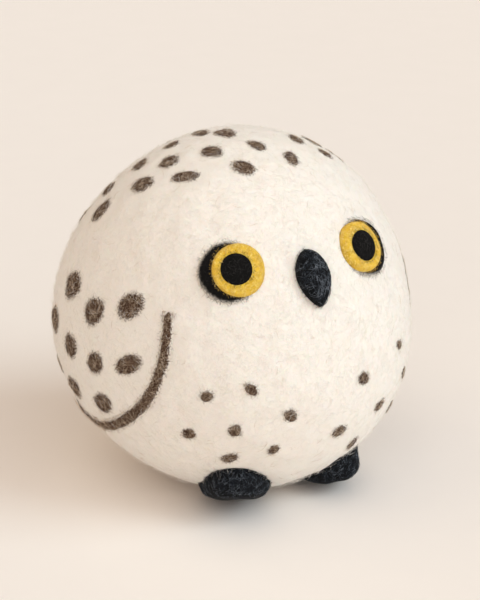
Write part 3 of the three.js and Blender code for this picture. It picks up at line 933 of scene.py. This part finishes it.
class OWL_OT_eyes(OwlOperator, bpy.types.Operator):
    """Make the eyes: black roundels, yellow rings and black dots, with their fibres"""
    bl_idname = "owl.make_eyes"
    bl_label = "Eyes"

    def execute(self, context):
        face = context.scene.owl_face
        for side_name, side in SIDES:
            around = face.left_eye_around if side == LEFT else face.right_eye_around
            up = face.left_eye_up if side == LEFT else face.right_eye_up
            seat = Seat(self.ball(context), direction_of(around, up))
            slope = side * tan(face.eye_lean)
            rng = draws("eyes", side)
            out = (side * face.backing_out, -face.backing_down)
            centre = (face.left_iris_out if side == LEFT else 0.0, 0.0)
            narrow = face.left_iris_narrow if side == LEFT else 1.0
            aside = (face.left_pupil_out if side == LEFT else -face.right_pupil_out, 0.0)
            # Part, radius, width as a share of its height, middle, heights of its middle and rim, where it
            # turns down, how far it reaches past its outline, wool
            layers = (
                ("backing", face.backing_radius, 1.0, out, 1.25, -0.2, 0.7, 1.1, "black"),
                ("iris", face.iris_radius, narrow, centre, 2.0, -0.2, 0.84, 1.06, "yellow"),
                ("pupil", face.pupil_radius, 1.0, aside, 2.35, 1.2, 0.7, 1.06, "black"),
            )
            for part, radius, width, middle, height, rim, shoulder, fade, wool in layers:
                wander = uneven(rng, 0.01)

                def outline(turn):
                    return radius * width * np.cos(turn) * wander(turn), radius * np.sin(turn) * wander(turn)

                def top(reach, u):
                    drop = np.clip((reach - shoulder) / (fade - shoulder), 0, 1) ** 2.2
                    level = height * MM + slope * u
                    return level + drop * (rim * MM - (level if rim < 0 else height * MM))

                node = f"{side_name}_eye_{part}"
                bm = felt_pad(seat, outline, top, 0.2 * MM, fade, 5, middle)
                around_it = "fleece" if part == "backing" else None
                material = felt_material(context, wool, around_it, feather=0.3, relief=0.2)
                add_felted(node + "_felted", bm, material, wool + "_felt", node)
            self.add_fibres(context, side_name, seat, slope, (out, centre, aside), narrow, rng)
        return {"FINISHED"}

    def add_fibres(self, context, side_name, seat, slope, middles, narrow, rng):
        face = context.scene.owl_face
        out, centre, aside = middles
        dark = strand_material("black strands", (0.01, 0.009, 0.008), (0.03, 0.027, 0.025), 0.6, 0.02)
        gold = strand_material("yellow strands", (0.8, 0.47, 0.05), (1.0, 0.76, 0.28), 0.9)
        grey = strand_material("grey strands", (0.06, 0.056, 0.054), (0.02, 0.02, 0.02), 0.6, 0.02)
        iris, pupil = face.iris_radius, face.pupil_radius
        # Part, count, radius, middle, span of shares, lengths, heights at both ends, spread, thickness, wool
        plans = (
            ("hairs", 520, face.backing_radius, out, (0.86, 1.04), (0.4, 1.5), 0.75, 0.15, 0.8, 0.022, dark),
            ("gold", 340, iris, centre, (0.64, 0.93), (0.5, 1.5), 1.95, 1.9, 1.6, 0.022, gold),
            ("gold_rim", 260, iris, centre, (0.93, 1.03), (0.3, 0.9), 1.5, 0.9, 0.9, 0.018, gold),
            ("lashes", 170, pupil, aside, (0.86, 1.0), (0.3, 0.9), 2.1, 2.05, 0.7, 0.02, dark),
            ("grey", 90, pupil, aside, (0.05, 0.9), (0.6, 1.6), 2.4, 2.35, 2.0, 0.02, grey),
        )
        for part, n, radius, middle, span, reaches, start, end, spread, thickness, material in plans:
            turn = rng.uniform(0, 2 * pi, n)
            share = rng.uniform(*span, n)
            width = narrow if material == gold else 1.0
            u = middle[0] + radius * width * share * np.cos(turn)
            v = middle[1] + radius * share * np.sin(turn)
            heading = turn + rng.normal(size=n) * spread
            reach = rng.uniform(*reaches, n) * MM
            rising = start + (end - start) * ALONG + arches(rng, n, 0.02, 0.3, 0.75)
            heights = np.maximum(rising * MM + slope * u[:, None], 0.05 * MM)
            paths = strand_paths(seat, u, v, heading, reach, rng.normal(size=n) * 0.9, heights, rng)
            slot = "yellow_felt" if material == gold else "black_felt"
            add_strands(f"{side_name}_eye_{part}", paths, thickness * MM, material, slot)


class OWL_OT_wings(OwlOperator, bpy.types.Operator):
    """Make the brown felted edge of each wing"""
    bl_idname = "owl.make_wing_edges"
    bl_label = "Wing edges"

    def execute(self, context):
        marks = context.scene.owl_markings
        ball = self.ball(context)
        material = felt_material(context, "brown", "fleece", 1.9, 0.35, relief=0.2)
        fade = marks.wing_fade
        for side_name, side in SIDES:
            back = LEFT_WING_BACK if side == LEFT else 0.0
            line = np.array([direction_of(radians(back + side * -a), radians(up)) for a, up in WING_LINE])
            route = self.smooth_route(line)
            ahead = unit(np.gradient(route, axis=0))
            sideways = unit(np.cross(route, ahead))
            bm = bmesh.new()
            bmesh.ops.create_uvsphere(bm, u_segments=20, v_segments=90, radius=1.0)
            points = np.array([v.co for v in bm.verts])
            t = np.arccos(np.clip(points[:, 2], -1, 1)) / pi
            ring = np.arctan2(points[:, 1], points[:, 0])
            centre, across = between(route, t), between(sideways, t)
            taper = 0.35 + 0.65 * np.sin(pi * (0.12 + 0.76 * t)) ** 0.6
            rng = draws("wings", side)
            wander = 1 + 0.05 * np.sin(t * 41 + rng.uniform(0, 6)) + 0.04 * np.sin(t * 77 + rng.uniform(0, 6))
            tip = np.minimum(1, np.minimum(t, 1 - t) * 30)
            reach = np.cos(ring) * fade
            half = marks.wing_half_width * taper * wander * np.maximum(tip, 0.02)
            aside = reach * half / np.linalg.norm(ball.halves) * np.sqrt(3)
            toward = unit(centre + across * aside[:, None])
            lifted = np.clip(1 - np.abs(reach / fade) ** 2, 0, 1) * (np.sin(ring) >= 0)
            rise = marks.left_wing_rise if side == LEFT else marks.wing_rise
            height = (rise * taper + marks.spot_sink) * lifted * tip - marks.spot_sink
            height = height - 0.2 * MM * (np.sin(ring) < -0.01)
            set_points(bm, ball.point(toward, height))
            bmesh.ops.recalc_face_normals(bm, faces=bm.faces)
            ends = np.clip(1 - np.minimum(t, 1 - t) / 0.03, 0, 1)
            set_reach(bm, np.maximum(np.abs(reach), ends * 1.2))
            node = f"{side_name}_wing_edge"
            add_felted(node + "_felted", bm, material, "marking_brown", node)
            self.add_fibres(context, ball, side_name, route, sideways, rise / marks.wing_rise, rng)
        return {"FINISHED"}

    def smooth_route(self, line):
        """Even points along a smooth line through a few directions."""
        points, window = 121, 17
        knots = np.concatenate([[0], np.cumsum(np.linalg.norm(np.diff(line, axis=0), axis=1))])
        t = np.linspace(0, knots[-1], points)
        rough = np.stack([np.interp(t, knots, line[:, k]) for k in range(3)], axis=1)
        weights = np.hanning(window)
        weights = weights / weights.sum()
        spare = window // 2
        padded = np.pad(rough, ((spare, spare), (0, 0)), mode="reflect", reflect_type="odd")
        return unit(np.stack([np.convolve(padded[:, k], weights, mode="valid") for k in range(3)], axis=1))

    def add_fibres(self, context, ball, side_name, route, sideways, raised, rng):
        """Fibres across the wing's edge. Raised is how far it stands out, as a share of the right one's."""
        marks = context.scene.owl_markings
        brown, _, net = marking_strands(context)
        for part, n, material, slot, span, reaches, high, thickness in (
            ("brown", 1900, brown, "marking_brown", 1.22, (0.4, 1.3), 0.12, 0.022),
            ("pale", 900, net, "fleece", 1.15, (0.7, 1.9), 0.66, 0.025),
        ):
            at = rng.integers(2, len(route) - 2, n)
            shift = rng.uniform(-span, span, n)
            aside = shift * marks.wing_half_width / ball.halves[0]
            toward = unit(route[at] + sideways[at] * aside[:, None])
            seat = Seat(ball, toward, rng.uniform(0, 2 * pi, n))
            reach = rng.uniform(*reaches, n) * MM
            base = high * raised * np.clip(1.5 - shift[:, None] ** 2, 0.1, 1)
            heights = (base + arches(rng, n, 0, 0.3, 0.9) * raised) * MM
            zero = np.zeros(n)
            paths = strand_paths(seat, zero, zero, zero, reach, rng.normal(size=n) * 2.0, heights, rng)
            add_strands(f"{side_name}_wing_edge_{part}", paths, thickness * MM, material, slot)


def marking_strands(context):
    """The brown fibres of a marking, the fleece's pale ones, and the tan ones that net a marking over."""
    ball = context.scene.owl_ball
    marks = context.scene.owl_markings
    darker, lighter = tint(marks.brown, 0.58, WARM_DARK), tint(marks.brown, 0.12, WARM_DARK)
    brown = strand_material("brown strands", darker, lighter, 0.9, 0.03)
    pale = strand_material("pale strands", ball.fleece, tint(ball.fleece, 0.4, (0.6, 0.48, 0.36)))
    net = strand_material("net strands", (0.72, 0.57, 0.41), (0.29, 0.185, 0.115), 0.85, 0.08)
    return brown, pale, net


class OWL_OT_spots(OwlOperator, bpy.types.Operator):
    """Make the brown spots, each felted into the fleece, and the fibres across their edges"""
    bl_idname = "owl.make_spots"
    bl_label = "Spots"

    def execute(self, context):
        marks = context.scene.owl_markings
        ball = self.ball(context)
        material = felt_material(context, "brown", "fleece", 1.0, 0.35, relief=0.2)
        rng = draws("spots")
        nodes = sorted(n for n in frame["nodes"] if "_spot_" in n)
        places = [(node, node) + seat_of(ball, node) for node in nodes]
        for i, (around, up, half_length, half_width, turn) in enumerate(BACK_SPOTS):
            seat = Seat(ball, direction_of(radians(around), radians(up)), radians(turn))
            places.append((f"back_spot_{i + 1}", None, seat, half_length * MM, half_width * MM))
        rise, sink, fade = marks.spot_rise, marks.spot_sink, marks.fade
        usual_spot = 2.6 * MM
        paths = {"brown": [], "pale": []}
        for name, node, seat, half_length, half_width in places:
            wander = uneven(rng, 0.016)

            def outline(turn):
                return half_length * np.cos(turn) * wander(turn), half_width * np.sin(turn) * wander(turn)

            def top(reach, _):
                return rise - (rise + sink) * np.clip(reach / fade, 0, 1) ** 4

            bm = felt_pad(seat, outline, top, sink, fade, detail=4)
            add_felted(name + "_felted", bm, material, "marking_brown", node)
            size = (np.sqrt(half_length * half_width) / usual_spot) ** 1.6
            for part, n, span, reaches, spread, low in (
                ("brown", marks.brown_fibres, (0.8, 1.12), (0.3, 1.05), 1.1, 0.1),
                ("pale", marks.pale_fibres, (0.05, 1.1), (0.7, 2.1), 2.0, 0.34),
            ):
                n = int(n * size)
                turn = rng.uniform(0, 2 * pi, n)
                share = rng.uniform(*span, n)
                u, v = outline(turn)
                heading = np.arctan2(v, u) + rng.normal(size=n) * spread
                u, v = u * share, v * share
                reach = rng.uniform(*reaches, n) * MM
                heights = (low + arches(rng, n, 0, 0.28, 0.9)) * MM
                curl = rng.normal(size=n) * 2.2
                paths[part].append(strand_paths(seat, u, v, heading, reach, curl, heights, rng))
        brown, _, net = marking_strands(context)
        for i, part in enumerate(np.array_split(np.concatenate(paths["brown"]), 2)):
            add_strands(f"spot_fibres_brown_{i + 1}", part, 0.022 * MM, brown, "marking_brown")
        add_strands("spot_fibres_pale", np.concatenate(paths["pale"]), 0.025 * MM, net, "fleece")
        return {"FINISHED"}


class OWL_OT_fuzz(OwlOperator, bpy.types.Operator):
    """Make the short white fuzz that stands off the ball, and the stray fibres caught in it"""
    bl_idname = "owl.make_fuzz"
    bl_label = "Fuzz"

    def execute(self, context):
        fuzz = context.scene.owl_fuzz
        ball = self.ball(context)
        fleece = context.scene.owl_ball.fleece
        white = strand_material("white strands", fleece, tint(fleece, 0.6))
        tan_wool = strand_material("tan strands", (0.5, 0.36, 0.24), (0.7, 0.56, 0.42))
        rng = draws("fuzz")
        for i in range(fuzz.bundles):
            paths = self.fuzz_paths(ball, rng, fuzz.fibres, (1.0, 3.6), 0.42)
            add_strands(f"fleece_fuzz_{i + 1}", paths, fuzz.thickness, white, "fleece")
        paths = self.fuzz_paths(ball, rng, fuzz.tan_fibres, (1.5, 4.5), 0.2)
        add_strands("fleece_tan_fibres", paths, fuzz.thickness, tan_wool, "fleece")
        return {"FINISHED"}

    def fuzz_paths(self, ball, rng, n, reaches, rise):
        toward = unit(rng.normal(size=(4 * n, 3)))
        toward = toward[self.is_open(toward)][:n]
        seat = Seat(ball, toward, rng.uniform(0, 2 * pi, n))
        reach = rng.uniform(*reaches, n) * MM
        stand = rise * np.abs(rng.normal(size=(n, 1))) * MM
        arch = stand * np.sin(pi * ALONG * rng.uniform(0.55, 1.0, (n, 1)))
        heights = arch + 0.02 * MM - 0.06 * MM * (ALONG == 0)
        zero = np.zeros(n)
        return strand_paths(seat, zero, zero, zero, reach, rng.normal(size=n) * 1.7, heights, rng)

    def is_open(self, toward):
        """Where the fleece shows: not over the face's felt, the feet or the flat underneath."""
        face = bpy.context.scene.owl_face
        covered = toward[:, 2] < -0.93
        for around, up, reach in (
            (face.beak_around, face.beak_up, 0.1), (face.left_eye_around, face.left_eye_up, 0.17),
            (face.right_eye_around, face.right_eye_up, 0.17),
        ):
            covered |= np.linalg.norm(toward - direction_of(around, up), axis=1) < reach
        return ~covered


class OWL_OT_stage(OwlOperator, bpy.types.Operator):
    """Make the floor, the lamps, the room light and the camera"""
    bl_idname = "owl.make_stage"
    bl_label = "Stage"

    def execute(self, context):
        stage = context.scene.owl_stage
        self.add_floor(context, stage)
        self.add_lights(context, stage)
        self.add_world(context, stage)
        self.add_camera(context, stage)
        context.scene.view_settings.view_transform = "Standard"
        return {"FINISHED"}

    def add_floor(self, context, stage):
        bm = bmesh.new()
        bmesh.ops.create_circle(bm, cap_ends=True, segments=96, radius=3.0)
        mesh = finish_mesh(bm, "floor")
        material, tree, shader, where = new_material("floor paper", 0.9, 0.1)
        tooth = ramp(tree, noise(tree, where, 60.0, 2.0).outputs["Fac"], 0.3, 0.7)
        paper = mixed(tree, tooth, opaque(stage.floor), tint(stage.floor, -0.006))
        tree.links.new(paper, shader.inputs["Base Color"])
        mesh.materials.append(material)
        floor = bpy.data.objects.new("floor", mesh)
        context.scene.collection.objects.link(floor)

    def add_lights(self, context, stage):
        for name, (around, up) in LAMPS.items():
            sun = bpy.data.lights.new(name, "SUN")
            sun.energy = getattr(stage, name + "_power")
            sun.color = getattr(stage, name + "_light")
            sun.angle = getattr(stage, name + "_size")
            lamp = bpy.data.objects.new(name, sun)
            toward = Vector(direction_of(radians(around), radians(up)))
            lamp.rotation_euler = toward.to_track_quat("Z", "Y").to_euler()
            context.scene.collection.objects.link(lamp)

    def add_world(self, context, stage):
        world = bpy.data.worlds.new("room")
        world.use_nodes = True
        context.scene.world = world
        tree = world.node_tree
        tree.nodes.clear()
        room = place(tree, "ShaderNodeBackground", {"Color": opaque(stage.room_light), "Strength": 1.0})
        seen = place(tree, "ShaderNodeBackground", {"Color": opaque(stage.backdrop), "Strength": 1.0})
        path = tree.nodes.new("ShaderNodeLightPath").outputs
        shown = math(tree, "MAXIMUM", path["Is Camera Ray"], path["Is Glossy Ray"])
        shown = math(tree, "MAXIMUM", shown, path["Is Transmission Ray"])
        mix = place(tree, "ShaderNodeMixShader", {0: shown, 1: room.outputs[0], 2: seen.outputs[0]})
        place(tree, "ShaderNodeOutputWorld", {"Surface": mix.outputs[0]})

    def add_camera(self, context, stage):
        a, e = stage.around, stage.above
        right = Vector((cos(a), sin(a), 0))
        back = Vector((sin(a) * cos(e), -cos(a) * cos(e), sin(e)))
        up = back.cross(right)
        data = bpy.data.cameras.new("camera")
        data.sensor_fit = "HORIZONTAL"
        data.sensor_width = 36
        data.lens = stage.lens
        data.clip_start = 0.01
        data.clip_end = 50
        camera = bpy.data.objects.new("camera", data)
        turn = Matrix((right, up, back)).transposed().to_4x4()
        camera.matrix_world = Matrix.Translation(Vector(stage.aim) + back * stage.distance) @ turn
        context.scene.collection.objects.link(camera)
        context.scene.camera = camera


OPERATORS = (
    OWL_OT_core, OWL_OT_cover, OWL_OT_gather, OWL_OT_feet, OWL_OT_beak, OWL_OT_eyes, OWL_OT_wings,
    OWL_OT_spots, OWL_OT_fuzz, OWL_OT_stage,
)


class OWL_PT_panel(bpy.types.Panel):
    bl_idname = "OWL_PT_panel"
    bl_label = "Owl Ball"
    bl_space_type = "VIEW_3D"
    bl_region_type = "UI"
    bl_category = "Owl Ball"

    def draw(self, context):
        layout = self.layout
        for key, group in SETTINGS:
            box = layout.box()
            for name in group.__annotations__:
                box.prop(getattr(context.scene, key), name)
        for operator in OPERATORS:
            layout.operator(operator.bl_idname)


def register():
    for key, group in SETTINGS:
        bpy.utils.register_class(group)
        setattr(bpy.types.Scene, key, PointerProperty(type=group))
    for operator in OPERATORS:
        bpy.utils.register_class(operator)
    bpy.utils.register_class(OWL_PT_panel)


def unregister():
    bpy.utils.unregister_class(OWL_PT_panel)
    for operator in reversed(OPERATORS):
        bpy.utils.unregister_class(operator)
    for key, group in reversed(SETTINGS):
        delattr(bpy.types.Scene, key)
        bpy.utils.unregister_class(group)


def main():
    register()
    bpy.ops.owl.make_core()
    bpy.ops.owl.make_cover()
    bpy.ops.owl.make_gather()
    bpy.ops.owl.make_feet()
    bpy.ops.owl.make_beak()
    bpy.ops.owl.make_eyes()
    bpy.ops.owl.make_wing_edges()
    bpy.ops.owl.make_spots()
    bpy.ops.owl.make_fuzz()
    bpy.ops.owl.make_stage()


if __name__ == "__main__":
    main()
